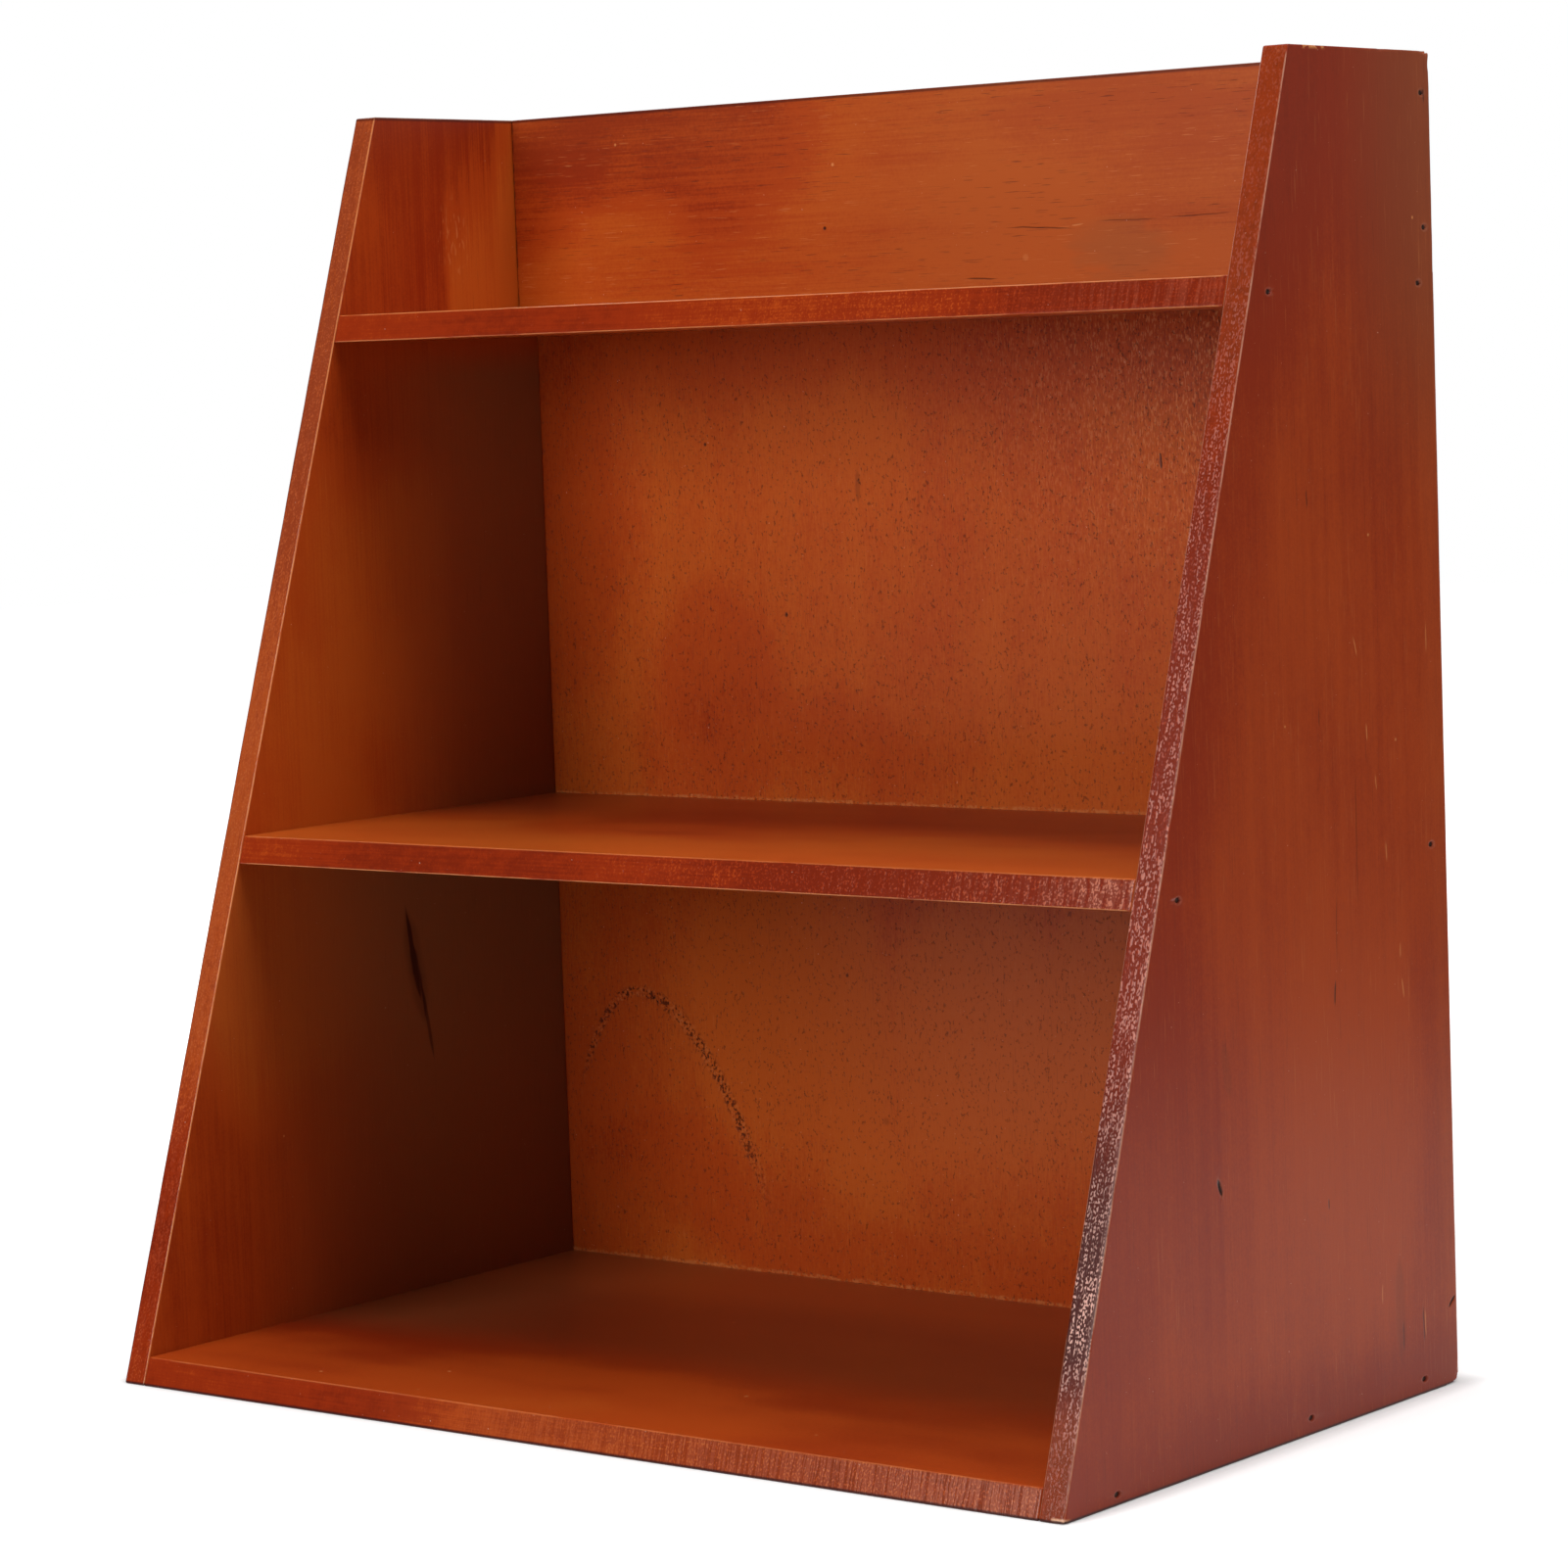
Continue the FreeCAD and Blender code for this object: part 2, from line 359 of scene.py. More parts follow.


# stained and lacquered wood: clouds, bands and fibres of stain along the grain, pores, rubbed arrises that
# are partly painted highlights, painted glints, sheen and shade, dust
# blots are ovals of fuller or thinner stain on the board's seen face: middle, reach and amount
# strokes are fine lines on that face: two ends, half width, and how dark, or below nought how pale
# specks are dots on it: middle, reach and amount, as a stroke's
def stainedWood(look, marks):
    material = newTree(look["node"] + "_stain")
    place = placeInMm()
    seed = look["seed"]
    thin = look["thin"]
    grain = "XYZ".index(look["grain"])
    low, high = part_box(look["node"])
    middle = (low[thin] + high[thin]) / 2 / mm
    onFace = ((place[thin] - middle) * (-1 if thin == 1 else 1)).step(-0.5, 0.5)

    def grainSize(along, across):
        return [along if i == grain else across for i in range(3)]

    gap = attribute("arrisGap")
    edge = attribute("frontEdge")
    pocket = attribute("pocket")
    cloud = noise(place, grainSize(*cells["cloud"]), seed + 0.1, 2) - 0.5
    bands = noise(place, grainSize(*cells["bands"]), seed + 0.2, 3) - 0.5
    fibre = noise(place, grainSize(look["fibreLong"], cells["fibre"]), seed + 0.3, 3, 0.65) - 0.5
    grime = noise(place, grainSize(*cells["grime"]), seed + 0.4, 3, 0.6) - 0.5
    wander = noise(place, cells["wander"], seed + 0.45, 1) - 0.5
    tooth = noise(place, cells["tooth"], seed + 0.95, 1) - 0.5
    # the sawn front is rougher: upright rows of pale fibres, broken into dots, with grit between them; the
    # pale is partly painted glints
    swayed = [place[0] + wander * cells["sway"], place[1], place[2]]
    saw = noise(swayed, (look["rowWide"], cells["saw"], look["rowLong"]), seed + 0.8, 1)
    dots = noise(place, (look["dotWide"], cells["saw"], look["dotLong"]), seed + 0.85, 0)
    rows = saw.step(0.38, 0.58) * (dots.step(0.48, 0.62) * look["broken"] + (1 - look["broken"]))
    gritGlints = dots.step(0.58, 0.7)
    extra = marks(look, place, seed, fibre)
    u, v = [place[i] for i in range(3) if i != thin]
    depth = cloud * look["cloud"] + bands * look["bands"] + fibre * look["fibre"] + grime * look["grime"]
    depth = depth + tooth * look["tooth"]
    faceDepth = extra.get("depth", 0)
    sway = cloud * cells["blotSway"]
    for atU, atV, sizeU, sizeV, amount in look["blots"]:
        faceDepth = faceDepth + oval(u + sway, v + sway, (atU, atV), (sizeU, sizeV)) * amount
    depth = depth + look["depth"] + faceDepth * onFace
    # the front edge has its own depth of stain, by height on a side and from left to right on a shelf
    way = place[2] if thin == 0 else place[0]
    edgeDepth = cloud * 0.6 + grime * 0.7 + fibre * 0.8 + ramp(way, look["edge"])
    edgeDepth = edgeDepth + (0.35 - rows * 0.6 - gritGlints) * extra.get("rowDepth", 0)
    depth = depth * (1 - edge) + edgeDepth * edge
    # pores are short dashes along the grain, dark where dirt fills them, pale where stain missed them
    pores = noise(place, grainSize(look["poreLong"], cells["pore"]), seed + 0.5, 1)
    patchy = noise(place, grainSize(*cells["patch"]), seed + 0.55, 1)
    dark = pores.step(0.64, 0.71) * patchy.step(0.38, 0.6) * look["pores"] * (1 - edge)
    light = pores.step(0.34, 0.28) * patchy.step(0.62, 0.4) * look["glints"] * (1 - edge)
    darkMarks = extra.get("dark", 0)
    paleMarks = extra.get("light", 0)
    stray = wander * cells["stray"]
    drawn = [(stroke(u + stray, v + stray, start, end, wide), amount)
             for start, end, wide, amount in look["strokes"]]
    drawn += [(oval(u, v, middle, (size, size)), amount) for middle, size, amount in look["specks"]]
    for mark, amount in drawn:
        if amount > 0:
            darkMarks = darkMarks + mark * amount
        else:
            paleMarks = paleMarks - mark * amount
    # painted glints: the pale rows and specks of the sawn front are partly raw fibres and partly painted
    # glints, and a pale band along a raised arris is a painted highlight
    ridgeGlints = (rows * extra.get("rawGlints", 0) + gritGlints * extra.get("gritGlints", 0)) * edge
    ridgeGlints = ridgeGlints + edge * (dots.step(0.4, 0.6) * 0.6 + 0.4) * extra.get("raisedHighlight", 0)
    colour = depth.step(0, 0.5).blend(thinStain, evenStain)
    colour = depth.step(0.5, 1).blend(colour, fullStain)
    colour = depth.step(1, 1.5).blend(colour, twiceStain)
    # brown: painted shade in corners and at the backs of shelves, painted sheen on front edges, the rail and
    # high at the back of the right side, and the rail's dirty patch
    brownShare = onFace * (1 - edge) * extra.get("brown", 0) + edge * extra.get("edgeBrown", 0)
    colour = brownShare.blend(colour, dirtShadeSheenBrown)
    colour = (edge * extra.get("scorch", 0)).blend(colour, scorchedAndShade)
    colour = (light + paleMarks * onFace).blend(colour, bareWoodAndGlint)
    colour = (extra.get("grey", 0) * onFace + attribute("rim") * 0.06).blend(colour, dustGrey)
    colour = (dark + darkMarks * onFace).blend(colour, poreBrown)
    colour = ridgeGlints.blend(colour, look["rawGlintColour"])
    # rubbed arrises: worn pale, and partly painted highlights along the arris
    worn = (noise(place, cells["worn"], seed + 0.6, 3) + fibre * 0.5).step(0.26, 0.55)
    rubbedAndHighlit = gap.step(0.5, 0.18) * worn * extra.get("rubAndHighlight", 1)
    colour = (rubbedAndHighlit * look["rubAndHighlight"]).blend(colour, look["rubAndHighlightColour"])
    dust = noise(place, cells["dust"], seed + 0.7, 2, 0.6).step(0.75, 0.79)
    colour = (dust * 0.6).blend(colour, dustGrey)
    # painted shade lines: near-black along the foot and along some arrises
    if "line" in extra:
        colour = extra["line"].blend(colour, scorchedAndShade)
    # painted shade: the bottom of a brad pocket or a pit near-black
    colour = pocket.step(0.25, 0.9).blend(colour, holeShade)
    peel = noise(place, cells["peel"], seed + 0.9, 2) - 0.5
    height = fibre * look["relief"] - (dark * 1.5 + light) * look["poreDeep"] + peel * look["peel"]
    height = height + extra.get("height", 0)
    height = height - darkMarks * onFace * 0.05 + edge * (rows + gritGlints * 0.5) * look["ridge"]
    bump = Wire.node("ShaderNodeBump", 0, {}, {"Strength": 1.0, "Distance": mm, "Height": height})
    gloss = look["rough"] * (1 - edge) + look["edgeRough"] * edge
    gloss = gloss + cloud * 0.06 + dark * 0.2 + ridgeGlints * 0.25
    endTree(Wire.node("ShaderNodeBsdfPrincipled", 0, {},
                      {"Base Color": colour, "Roughness": gloss, "Normal": bump, "IOR": look["ior"]}))
    return material


# all boards: shape first, then how much of each pattern, the sawn front, and gloss
common = {
    "slanted": True, "face": 0, "outward": True, "brads": [], "pits": [], "chips": [], "pocket": 0.82,
    "step": 6, "arris": 0.55, "slot": "stained_board",
    "depth": 0.45, "cloud": 0.8, "bands": 0.45, "fibre": 0.6, "fibreLong": 40, "grime": 0.2, "tooth": 0.25,
    "pores": 0.3, "glints": 0.2, "poreLong": 13, "relief": 0.015, "peel": 0.01, "poreDeep": 0.02,
    "edge": [(0, 1)], "ridge": 0.008, "rowWide": 1.0, "rowLong": 12, "dotWide": 0.55, "dotLong": 0.7,
    "broken": 0.6, "rawGlintColour": (0.60, 0.25, 0.15), "rubAndHighlight": 0.7, "rubAndHighlightColour": bareWoodAndGlint,
    "rough": 0.31, "edgeRough": 0.17, "ior": 1.32, "blots": [], "strokes": [], "specks": [],
}

# left side: a bark streak low inside, a pale flame beside the rail
leftSide = {
    **common, "node": "left_side_panel", "grain": "Z", "thin": 0, "seed": 4, "outward": False, "depth": 0.5,
    "brads": ["left_brads_bottom_shelf", "left_brads_middle_shelf", "left_brads_top_shelf",
              "left_brads_back_rail"],
    "chips": [(-175, -86.5, 45, 2.2, 0.7)], "pores": 0.15, "glints": 0.1,
    "edge": [(10, 1.0), (50, 1.25), (110, 0.6), (180, 0.52), (260, 0.95), (340, 0.85)],
    "blots": [(40, 292, 90, 26, 0.12), (20, 185, 80, 45, -0.3), (15, 240, 45, 60, -0.35),
              (-70, 50, 40, 80, 0.2), (25, 60, 40, 60, 0.15), (-25, 125, 65, 55, -0.5)],
    "strokes": [((22.6, 137), (29, 99), 1.3, 0.8), ((24.6, 125), (29.6, 99), 2.3, 0.6),
                ((28.4, 112), (34.6, 78), 1.0, 0.7), ((22.4, 138), (31.5, 88), 5.0, 0.3)],
    "specks": [((-36.3, 67.1), 0.5, -0.8)],
}


def leftMarks(look, place, seed, fibre):
    x, y, z = place
    ragged = noise(place, (9, 5, 26), seed + 2.3, 3) - 0.5
    halo = stroke(y + ragged * 3, z, (21, 142), (31, 94), 7)
    above = z.step(316, 323)
    flame = (y + ragged * 6).step(53, 57) * above * (z.step(385, 326) * 0.62 - fibre * 0.6)
    beside = (y + ragged * 4).step(78, 83) * above * (z.step(330, 372) * 0.15 + 0.28)
    flecks = noise(place, (1, 0.9, 4), seed + 2.4, 1).step(0.6, 0.66) * oval(y, z, (59, 345), (9, 18))
    # painted shade: brown in the corners, further out under the middle shelf
    low = z.step(160, 150) * (y.step(-60, 40) * 0.9 + z.step(70, 120) * 0.12)
    middle = z.step(152, 164) * z.step(315, 300) * y.step(0, 80) * 0.8
    # painted shade: near-black along the foot and the top arris, darker over the outer face and its arrises
    outline = z.step(1.1, 0.6) * 0.95 + z.step(383.3, 383.9) * 0.7 + x.step(-174.2, -174.7) * 0.6
    # the brown up the front edge is painted sheen
    return {"depth": halo * 0.3 + above * 0.2 + z.step(350, 375) * 0.12 - flame - beside,
            "light": flecks * 0.4, "brown": low + middle, "edgeBrown": z.step(60, 115) * 0.25,
            "rubAndHighlight": x.step(-172, -170), "rowDepth": 0.25, "rawGlints": 0.03, "gritGlints": 0.02, "line": outline}


# right side: a knot hole, a nick at the back, a chipped top, saw marks on its front, partly painted glints
rightSide = {
    **common, "node": "right_side_panel", "grain": "Z", "thin": 0, "seed": 9, "depth": 0.7, "cloud": 0.45,
    "pores": 0.2, "glints": 0.2, "bands": 0.35, "fibre": 0.25, "fibreLong": 70, "rough": 0.33, "ior": 1.27,
    "rawGlintColour": (0.70, 0.38, 0.31), "rubAndHighlight": 0.45, "rubAndHighlightColour": (0.62, 0.33, 0.22),
    "ridge": 0.012, "rowWide": 0.8, "dotLong": 0.8, "broken": 1.0,
    "rawGlints": [(15, 0.03), (30, 0.4), (50, 0.9), (80, 0.45), (110, 0.35), (145, 0.27), (225, 0.23), (265, 0.18),
            (300, 0.1), (345, 0.02)],
    "edge": [(8, 1.3), (60, 1.4), (130, 1.45), (230, 1.4), (330, 1.15), (370, 1.1)],
    "brads": ["right_brads_bottom_shelf", "right_brads_middle_shelf", "right_brads_top_shelf",
              "right_brads_back_rail"],
    "pits": [(175, -23.9, 76.4, 2.0, 0.6, -22, 0.8), (175, 95.8, 24.4, 2.3, 0.5, 52, 0.4)],
    "chips": [(175, 33, 384.6, 2.5, 0.9), (175, 40, 384.6, 2.0, 0.8), (175, 98.4, 0, 4.5, 1.6),
              (175, 98.4, 384.6, 4, 1.3), (175, -101.4, 0, 2.5, 0.8)],
    "blots": [(-60, 90, 60, 70, 0.15), (45, 90, 50, 90, -0.2)],
    "strokes": [((-21, 119), (-17.5, 97), 2.6, 0.2), ((37, 127), (36, 117), 0.55, 0.8),
                ((38.6, 153), (37.6, 127), 0.4, 0.35), ((49.8, 190), (49.6, 138), 0.5, 0.3),
                ((28.1, 264), (28.1, 257), 0.4, 0.6), ((31.7, 203), (31.7, 196), 0.4, 0.5),
                ((94.9, 375), (94.9, 369), 0.5, 0.6), ((92.8, 22.2), (98.3, 26.4), 0.65, 1.0),
                ((-25.2, 79.6), (-22.7, 73.2), 1.0, 1.0), ((-25.3, 79.4), (-24, 75), 0.7, 1.0),
                ((79.4, 28), (80, 13), 0.4, 0.7), ((68.5, 25), (68.6, 13), 0.4, 0.5),
                ((30.5, 65.5), (30.5, 61), 0.45, 0.7), ((67, 48), (67.4, 6), 3.5, 0.2),
                ((71.8, 133), (71.6, 127), 0.35, -0.7), ((71.9, 123), (73.2, 115), 0.35, -0.8),
                ((65.2, 163), (65.4, 155), 0.35, -0.6), ((50.1, 222), (52.5, 214), 0.35, -0.6),
                ((56.2, 197), (56.5, 190), 0.35, -0.7), ((60.3, 182), (61.1, 176), 0.35, -0.5),
                ((89.8, 224), (89.4, 212), 0.35, -0.5), ((57.9, 37), (57.5, 29), 0.4, -0.6),
                ((80.4, 26), (80.9, 15), 0.35, -0.6)],
    "specks": [((59.7, 248.9), 0.6, -0.8), ((71.8, 190.2), 0.6, -0.7), ((14.2, 198.5), 0.5, -0.7),
               ((87.5, 337.5), 0.6, -0.9)],
}


def rightMarks(look, place, seed, fibre):
    x, y, z = place
    tail = (abs(y + 23.9) / 2.5).step(1, 0) * z.step(20, 60) * z.step(150, 90)
    crumbs = noise(place, (2, 2, 2), seed + 2.1).step(0.45, 0.6)
    chipped = z.step(383.2, 384.2) * y.step(27, 31) * y.step(46, 42) * crumbs
    front = (y - frontAtFloor / mm - z * lean).step(40, 5)
    knotRim = stroke(y, z, (-25.9, 81), (-22, 71.8), 1.7)
    # fuller stain towards the foot is painted shade
    fuller = z.step(230, 370) * 0.25 + front * z.step(60, 130) * 0.2 + z.step(28, 4) * 0.2
    return {"depth": tail * 0.12 + fuller,
            "light": chipped + y.step(82, 96) * 0.04 + oval(y, z, (-101, 0.5), (4, 1.2)) * 0.9,
            "grey": knotRim * 0.07 + oval(y, z, (-101, 0.6), (2, 1)) * 0.6,
            # brown high at the back is painted sheen
            "brown": y.step(40, 90) * z.step(240, 330) * 0.35, "rubAndHighlight": z.step(383, 381),
            # the sawn front's pale rows and specks are partly painted glints
            "rawGlints": ramp(z, look["rawGlints"]), "gritGlints": z.step(40, 20) * 0.03 + 0.02,
            # the pale band on the raised outer arris is a painted highlight
            "raisedHighlight": x.step(173.2, 173.9) * z.step(22, 45) * z.step(160, 90) * 0.1,
            "rowDepth": z.step(15, 40) * z.step(330, 200) * 0.5 + 0.15,
            # brown on the front edge's top and foot is painted sheen
            "edgeBrown": z.step(250, 330) * 0.15 + z.step(40, 20) * 0.2,
            # the line along the foot is painted shade
            "scorch": z.step(20, 45) * z.step(135, 65) * 0.9, "line": z.step(1.1, 0.6) * 0.95}


# shelves: smooth tops with painted shade at the back, fronts sawn rough towards the right with painted glints
# there
shelf = {
    **common, "grain": "X", "thin": 2, "fibre": 0.1, "bands": 0.12, "grime": 0.05, "relief": 0, "peel": 0,
    "pores": 0, "glints": 0, "poreDeep": 0, "rubAndHighlight": 0.4, "rubAndHighlightTop": 1.0,
}
bottomShelf = {
    **shelf, "node": "bottom_shelf", "seed": 14,
    "edge": [(-150, 1.1), (-80, 1.05), (-30, 0.6), (60, 0.9), (150, 1.1)],
    "rawGlints": [(-60, 0), (0, 0.03), (100, 0.13), (160, 0.21)],
    "rowWide": 0.6, "rowLong": 18, "broken": 0.3, "rowDepth": 0.7, "gritGlints": 0.02,
    "brownShare": 0.2, "shadedBack": (-45, 0.27), "rubAndHighlight": 0.25,
    "specks": [((-105, -87.1), 0.8, -0.8), ((-70.8, -68), 0.8, -0.8), ((28.6, -50.8), 0.9, -0.7),
               ((76.8, -79.7), 0.7, -0.5), ((-61.7, -91.3), 0.6, -0.5), ((-41.5, 29.6), 0.8, -0.4)],
    # the wide blot at the back is painted shade
    "blots": [(-140, -60, 80, 60, 0.3), (-25, -95, 50, 30, -0.15), (120, -78, 110, 50, 0.25),
              (0, 0, 300, 85, 0.55)],
}
middleShelf = {
    **shelf, "node": "middle_shelf", "seed": 19, "depth": 0.2,
    "edge": [(-155, 0.9), (-105, 1.3), (-50, 1.3), (0, 1.05), (60, 1.5), (150, 1.4)],
    "rawGlints": [(40, 0), (100, 0.04), (130, 0.11), (158, 0.34)],
    "rowWide": 1.1, "dotWide": 0.5, "dotLong": 0.6, "broken": 0.8, "rowDepth": 0.45, "gritGlints": 0.015,
    "brownShare": 0, "shadedBack": (15, 0), "rubAndHighlight": 0.8, "rubAndHighlightTop": 0.35,
    "specks": [((-107.9, 6.9), 0.8, -0.6), ((-161.8, 32.2), 1.0, -0.5), ((-102.3, 21.4), 0.7, -0.3)],
    # the blot at the back is painted shade
    "blots": [(0, 58, 300, 66, 0.6)],
}
topShelf = {
    **shelf, "node": "top_shelf", "seed": 24, "depth": 0.25,
    "edge": [(-155, 1.05), (-100, 1.3), (0, 0.85), (50, 0.85), (120, 1.4), (160, 1.3)],
    "rawGlints": [(80, 0), (160, 0.06)], "rowLong": 16, "broken": 0.3, "rowDepth": 0.25, "gritGlints": 0.01,
    "brownShare": 0, "shadedBack": (200, 0), "rubAndHighlight": 0.6,
}


def shelfMarks(look, place, seed, fibre):
    x, y, z = place
    start, share = look["shadedBack"]
    low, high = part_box(look["node"])
    middle = (low.z + high.z) / 2 / mm
    upper = z.step(middle - 1, middle + 1)
    # the sawn front's pale rows and specks are partly painted glints
    return {"rawGlints": ramp(x, look["rawGlints"]), "gritGlints": x.step(-60, 120) * look["gritGlints"],
            # the line along the foot is painted shade
            "rowDepth": x.step(-60, 100) * look["rowDepth"] + 0.1, "line": z.step(1.1, 0.6) * 0.95,
            # brown at the back is painted shade
            "brown": y.step(start, start + 40) * (x.step(-70, -150) * 0.3 + share),
            # brown on the front edge is painted sheen
            "edgeBrown": x.step(-90, 0) * look["brownShare"],
            "rubAndHighlight": abs(x).step(166, 164.5) * (1 - upper * (1 - look["rubAndHighlightTop"]))}


# rail: more pores than the other boards, a fuzzy patch low on the right with cracks running from it
backRail = {
    **common, "node": "upper_back_rail", "grain": "X", "thin": 1, "seed": 31, "slanted": False, "pores": 0.55,
    "glints": 0.35, "poreLong": 9, "depth": 0.2, "bands": 0.6, "fibre": 0.8, "tooth": 0.35, "rubAndHighlight": 0,
    "ior": 1.2,
    "blots": [(-170, 368, 50, 40, 0.5), (-95, 380, 70, 45, 0.75), (0, 345, 80, 30, -0.15),
              (70, 328, 60, 14, -0.2), (90, 386, 110, 24, 0.2)],
    "strokes": [((27.6, 341.2), (61, 339.4), 0.32, 0.6), ((62, 341.5), (91, 341.1), 0.3, 0.5),
                ((86, 341.2), (116, 341.9), 0.3, 0.5), ((14, 326.4), (30, 325.6), 0.35, 0.7),
                ((55, 340.5), (61, 340.9), 0.35, -0.6)],
    "specks": [((-37.9, 343.8), 0.8, 1.0), ((-34, 363.3), 0.7, -1.0), ((-122.3, 374.2), 0.6, -0.8),
               ((38.6, 331.7), 1.4, -0.3)],
}


def railMarks(look, place, seed, fibre):
    x, y, z = place
    ragged = noise(place, (10, 10, 3), seed + 2.1, 3) - 0.5
    patch = oval(x + ragged * 30, z + ragged * 10, (74, 333.5), (24, 12))
    joint = x.step(-165.7, -166.5) * noise(place, (3, 3, 3), seed + 2.2, 2).step(0.45, 0.55)
    corner = x.step(-30, -80) * z.step(350, 380)
    # brown on the right half is painted sheen, on the patch it is the patch's dirt
    return {"depth": patch * fibre * 1.6, "brown": x.step(-80, 20) * 0.15 + patch * 0.3 + corner * 0.12,
            # the line along the top arris is painted shade
            "dark": joint * 0.8, "light": x.step(-30, 40) * 0.05, "line": z.step(383.3, 383.9) * 0.7}


# back panel: ply with open pores, an arch of pores and a pale flame in the lower half
backPanel = {
    **common, "node": "back_panel", "grain": "Z", "thin": 1, "seed": 37, "slanted": False, "face": 1,
    "step": 5,
    "brads": ["back_brads_bottom_shelf", "back_brads_middle_shelf", "back_brads_top_shelf",
              "back_brads_left_side", "back_brads_right_side"],
    "slot": "stained_ply", "pocket": 0.22, "arris": 0.4, "relief": 0.06, "fibreLong": 6, "peel": 0.03,
    "pores": 0.3, "glints": 0.12, "poreLong": 5, "tooth": 0.4, "depth": 0.22, "bands": 0.25, "fibre": 0.8,
    "rubAndHighlight": 0.2, "ior": 1.25,
    "blots": [(-98, 206, 38, 30, 0.35), (-70, 178, 80, 26, 0.25), (-130, 34, 60, 36, 0.3),
              (0, 18, 150, 16, 0.15), (-20, 92, 150, 52, -0.35), (-155, 255, 35, 75, 0.3),
              (-145, 85, 45, 60, 0.2)],
    "strokes": [((79.4, 273), (79.6, 266), 0.55, 0.8), ((-35.6, 270), (-35.3, 256), 1.3, 0.3)],
    "specks": [((-46.3, 107.6), 0.8, 0.8), ((-96.9, 277.2), 0.8, 0.9), ((-65.9, 222.4), 0.9, 0.8),
               ((-32.5, 61.6), 1.6, 0.3)],
}


def panelMarks(look, place, seed, fibre):
    x, y, z = place
    # the arch is two half parabolas that meet at its top, the left one steeper
    side = x + 134.7
    arch = 97.7 - side * side * (side.step(-0.5, 0.5) * -0.0252 + 0.0485)
    dots = noise(place, (0.85, 0.85, 1.0), seed + 2.1, 1)
    near = (abs(z - arch) / (abs(side) * 0.12 + 2.2)).step(1, 0.3) * side.step(-27, -20) * side.step(58, 42)
    pores = near * dots.step(0.54, 0.6)
    pits = noise(place, (0.75, 0.75, 1.1), seed + 2.2, 1).step(0.65, 0.7)
    ragged = noise(place, (6, 6, 3), seed + 2.3, 2) - 0.5
    flame = (abs(x + 41 + ragged * 5) / ((79 - z) * 0.5 + 0.1)).step(1.1, 0.5)
    flame = flame * z.step(79, 74) * z.step(22, 56)
    height = z + ragged * 2.5
    seam = (height - 8.5).step(1.2, 0.5) + (height - 162.8).step(1.1, 0.4) * z.step(160, 162)
    # painted glints of raised fibres high on the right, with painted shade between them
    furred = noise(place, (0.5, 0.9, 1.6), seed + 2.4, 1)
    where = x.step(80, 160) * z.step(250, 305) * 1.5 + x.step(-40, 110) * z.step(195, 300) * 0.45
    hairGlints = furred.step(0.57, 0.65) * where
    shade = furred.step(0.45, 0.37) * where
    # fuller stain just under the top shelf is painted shadow
    return {"depth": flame * -0.45 + z.step(280, 312) * 0.35,
            "dark": pores * 0.8 + pits * 0.5 + shade * 0.6,
            "light": seam * dots.step(0.35, 0.6) * 0.4 + hairGlints + near * dots.step(0.44, 0.38) * 0.25,
            "height": pores * -0.1 - pits * 0.05 + hairGlints * 0.05}


boards = [(leftSide, leftMarks), (rightSide, rightMarks), (bottomShelf, shelfMarks),
          (middleShelf, shelfMarks), (topShelf, shelfMarks), (backRail, railMarks), (backPanel, panelMarks)]
for look, marks in boards:
    makeBoard(look, stainedWood(look, marks))
print("boards made")

# brads: dull steel under the same lacquer
steel = {"colour": (0.035, 0.02, 0.014), "spots": (0.09, 0.045, 0.03), "spotSize": (0.5, 0.5, 0.5), "seed": 3,
         "rough": 0.35, "roughSpread": 0.3, "metal": 0.6}
brads = newTree("brad_steel")
spotty = noise(placeInMm(), steel["spotSize"], steel["seed"])
endTree(Wire.node("ShaderNodeBsdfPrincipled", 0, {}, {
    "Base Color": spotty.step(0.35, 0.65).blend(steel["colour"], steel["spots"]),
    "Roughness": spotty * steel["roughSpread"] + steel["rough"], "Metallic": steel["metal"]}))
for node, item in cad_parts.items():
    if "_brads_" in node:
        item.data.materials.clear()
        item.data.materials.append(brads)
print("brads painted")

# camera, from the fit to the photograph's edges
camera = {"stand": (0.88815, -1.09591, 0.30408), "azimuth": 38.718, "pitch": -5.0725, "roll": -2.0128,
          "lens": 110.16, "sensor": 36}
lens = bpy.data.cameras.new("camera")
lens.lens = camera["lens"]
lens.sensor_width = camera["sensor"]
eye = bpy.data.objects.new("camera", lens)
turn = (Matrix.Rotation(math.radians(camera["azimuth"]), 4, "Z")
        @ Matrix.Rotation(math.radians(90 + camera["pitch"]), 4, "X")
        @ Matrix.Rotation(math.radians(camera["roll"]), 4, "Z"))
eye.matrix_world = Matrix.Translation(camera["stand"]) @ turn
scene.collection.objects.link(eye)
scene.camera = eye

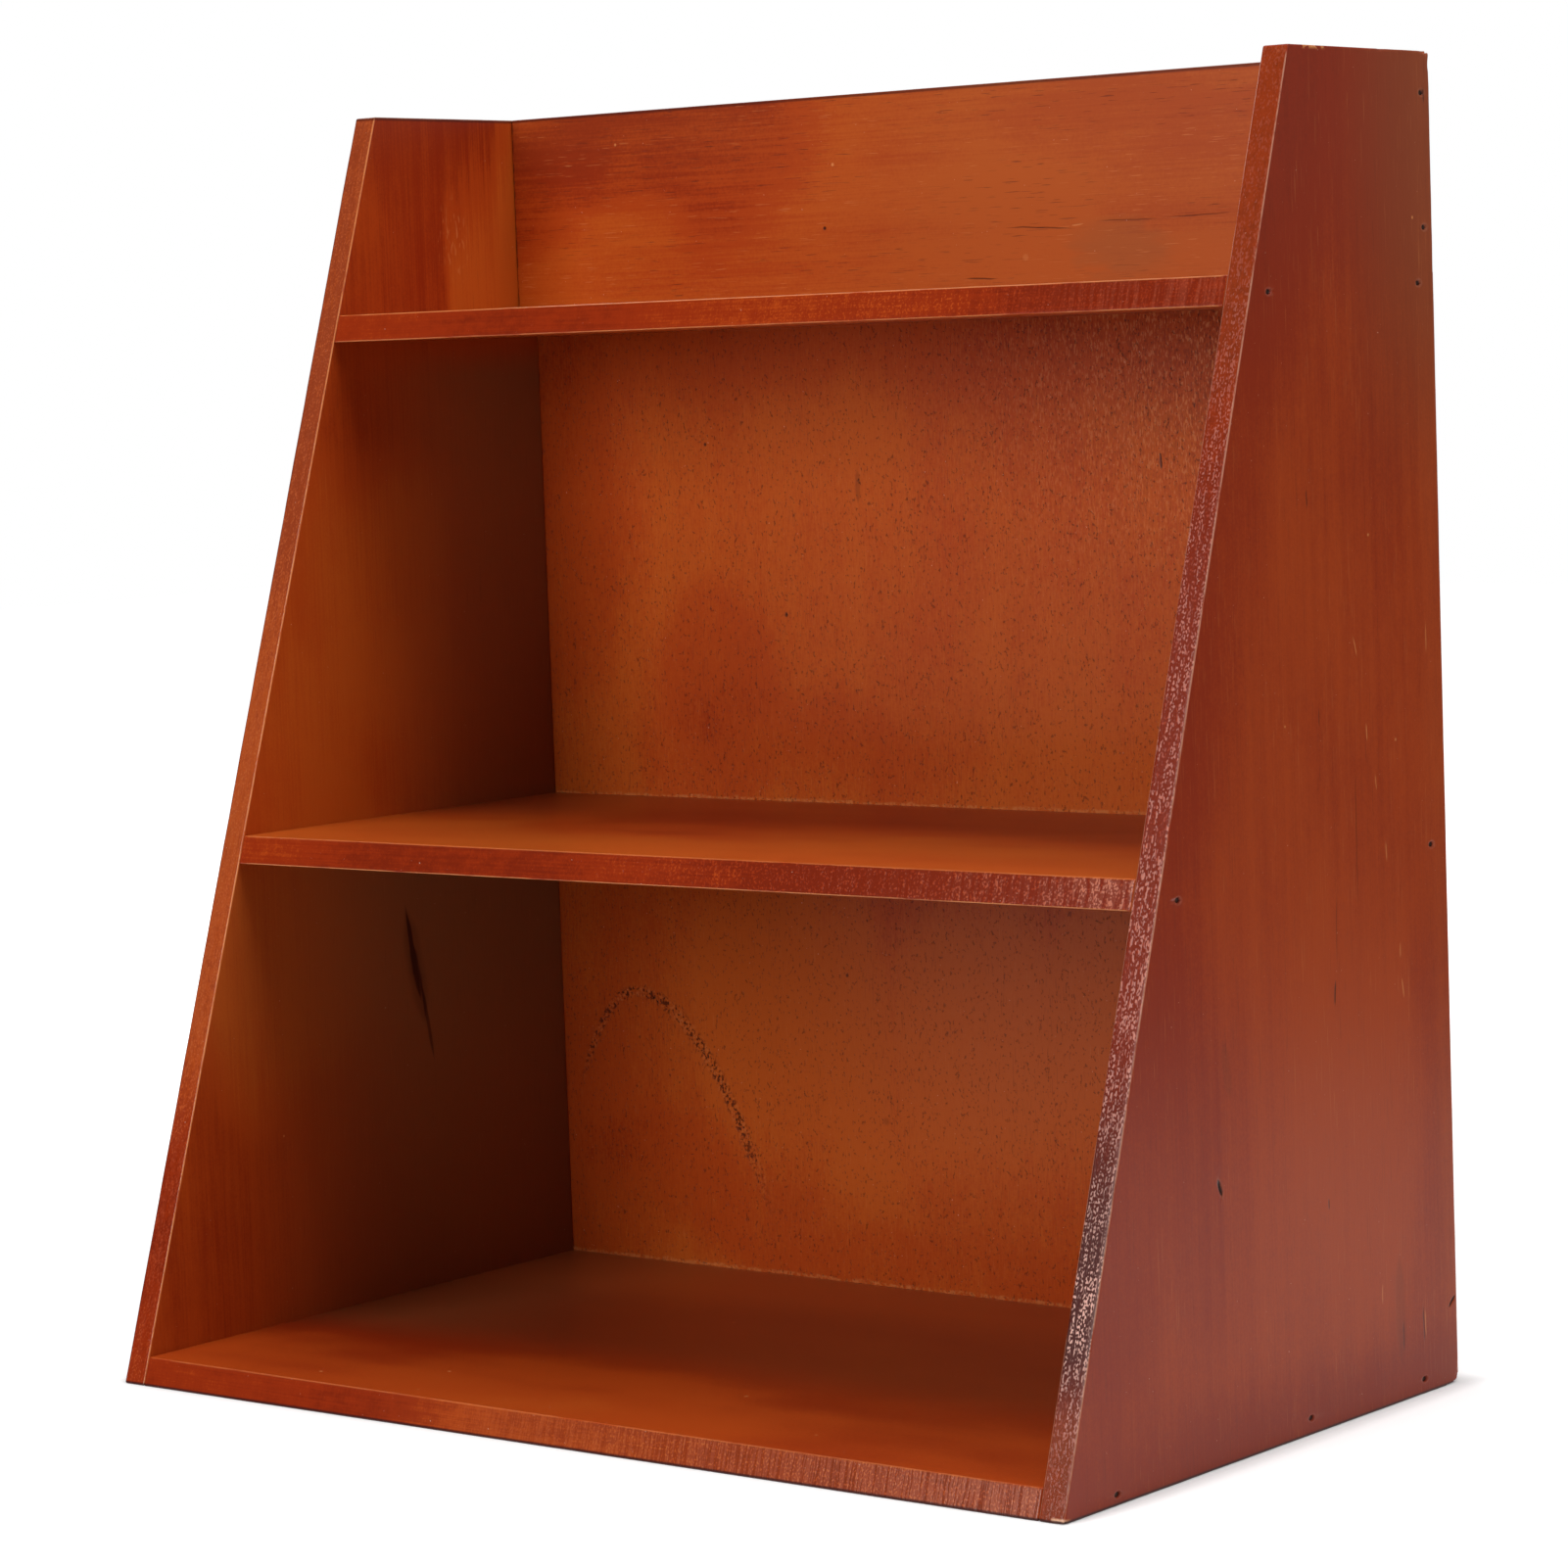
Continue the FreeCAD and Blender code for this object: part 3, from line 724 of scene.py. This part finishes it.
# lamps: azimuth to the right of the front and elevation are degrees seen from the shelf
aim = Vector((0, 0, 0.19))
lamps = {
    "key": {"azimuth": -12, "elevation": 19, "distance": 1.6, "size": (0.8, 0.8), "power": 17.0},
    "top": {"azimuth": 85, "elevation": 79, "distance": 1.6, "size": (0.9, 0.75), "power": 19.0},
    "fill": {"azimuth": 90, "elevation": 30, "distance": 1.6, "size": (0.8, 0.8), "power": 6.8},
    "left": {"azimuth": -115, "elevation": 28, "distance": 1.6, "size": (0.8, 0.8), "power": 6.0},
}
for name, lamp in lamps.items():
    light = bpy.data.lights.new(name, "AREA")
    light.shape = "RECTANGLE"
    light.size, light.size_y = lamp["size"]
    light.energy = lamp["power"]
    across, up = math.radians(lamp["azimuth"]), math.radians(lamp["elevation"])
    way = Vector((math.sin(across) * math.cos(up), -math.cos(across) * math.cos(up), math.sin(up)))
    stand = bpy.data.objects.new(name, light)
    stand.location = aim + way * lamp["distance"]
    stand.rotation_euler = way.to_track_quat("Z", "Y").to_euler()
    stand.visible_camera = False
    scene.collection.objects.link(stand)


# 1 for rays from the eye, straight or by way of a reflection or glass, and 0 for rays that only bring light
def seenRays():
    straight, mirrored, through = (Wire.node("ShaderNodeLightPath", f"Is {kind} Ray")
                                   for kind in ("Camera", "Glossy", "Transmission"))
    return (straight + mirrored + through).step(0, 1)


# world: white to the eye and in reflections, faint as light
studio = {"ambient": 0.1}
world = bpy.data.worlds.new("studio")
scene.world = world
world.use_nodes = True
Wire.tree = world.node_tree
Wire.tree.nodes.clear()
grey = (studio["ambient"],) * 3
sky = Wire.node("ShaderNodeBackground", 0, {}, {"Color": seenRays().blend(grey, (1, 1, 1)), "Strength": 1})
Wire.node("ShaderNodeOutputWorld", inputs={"Surface": sky})

# floor: white paper, topped up to white for the eye where the lamps fall off, so that only the shadow shows
paper = {"colour": 0.8, "half": 4, "near": 0.42, "far": 1.0, "fade": (0.2, 1.3), "contact": 0.01,
         "touching": 0.3}
half = paper["half"]
corners = [(-half, -half, 0), (half, -half, 0), (half, half, 0), (-half, half, 0)]
floorMesh = bpy.data.meshes.new("floor")
floorMesh.from_pydata(corners, [], [(0, 1, 2, 3)])
floor = bpy.data.objects.new("floor", floorMesh)
floorMesh.materials.append(newTree("paper"))
coords = Wire.node("ShaderNodeTexCoord", "Object")
away = Wire.node("ShaderNodeVectorMath", "Value", {"operation": "LENGTH"}, {0: coords})
topUp = away.step(*paper["fade"]) * (paper["far"] - paper["near"]) + paper["near"]
# less of it right beside the foot: a painted contact shadow
spread = [Wire.node("ShaderNodeSeparateXYZ", axis, inputs={0: coords}) for axis in "XY"]
outX, outY = (Wire.maths("MAXIMUM", abs(far) - reach, 0) for far, reach in zip(spread, cadBox[1]))
beside = (outX * outX + outY * outY) ** 0.5
topUp = topUp * (beside.step(0, paper["contact"]) * (1 - paper["touching"]) + paper["touching"])
lit = (seenRays() * topUp).blend((0, 0, 0), (1, 1, 1))
glow = Wire.node("ShaderNodeEmission", 0, {}, {"Color": lit, "Strength": 1})
sheet = Wire.node("ShaderNodeBsdfDiffuse", 0, {}, {"Color": (*[paper["colour"]] * 3, 1)})
endTree(Wire.node("ShaderNodeAddShader", 0, {}, {0: sheet, 1: glow}))
scene.collection.objects.link(floor)

# dark cloth round the set and a card behind on the right, both off camera, for the lacquer to mirror
cloth = {"radius": 1.9, "height": 3.0, "arc": (0, 360), "front": 0.05, "back": 0.32, "fade": (-0.5, 0.6)}
card = {"radius": 0.72, "height": 0.34, "arc": (15, 110), "glow": 0.1}


# upright band: points on an arc at the floor, and again at the given height
def band(name, look, steps=40):
    angles = np.radians(np.linspace(*look["arc"], steps + 1))
    radius = look["radius"]
    foot = np.stack([np.cos(angles) * radius, np.sin(angles) * radius, angles * 0], 1)
    points = np.concatenate([foot, foot + [0, 0, look["height"]]])
    i = np.arange(steps)
    quads = np.stack([i, i + 1, i + steps + 2, i + steps + 1], 1)
    mesh = bpy.data.meshes.new(name)
    mesh.from_pydata(points.tolist(), [], quads.tolist())
    drape = bpy.data.objects.new(name, mesh)
    mesh.materials.append(newTree(name))
    if "glow" in look:
        shine = (*[look["glow"]] * 3, 1)
    else:
        coords = Wire.node("ShaderNodeTexCoord", "Object")
        y = Wire.node("ShaderNodeSeparateXYZ", "Y", inputs={0: coords})
        shine = y.step(*look["fade"]).blend((look["front"],) * 3, (look["back"],) * 3)
    endTree(Wire.node("ShaderNodeEmission", 0, {}, {"Color": shine, "Strength": 1}))
    drape.visible_camera = False
    drape.visible_diffuse = False
    drape.visible_shadow = False
    drape.visible_transmission = False
    scene.collection.objects.link(drape)


band("cloth", cloth)
band("card", card)
print("studio set")

scene.view_settings.view_transform = "Standard"
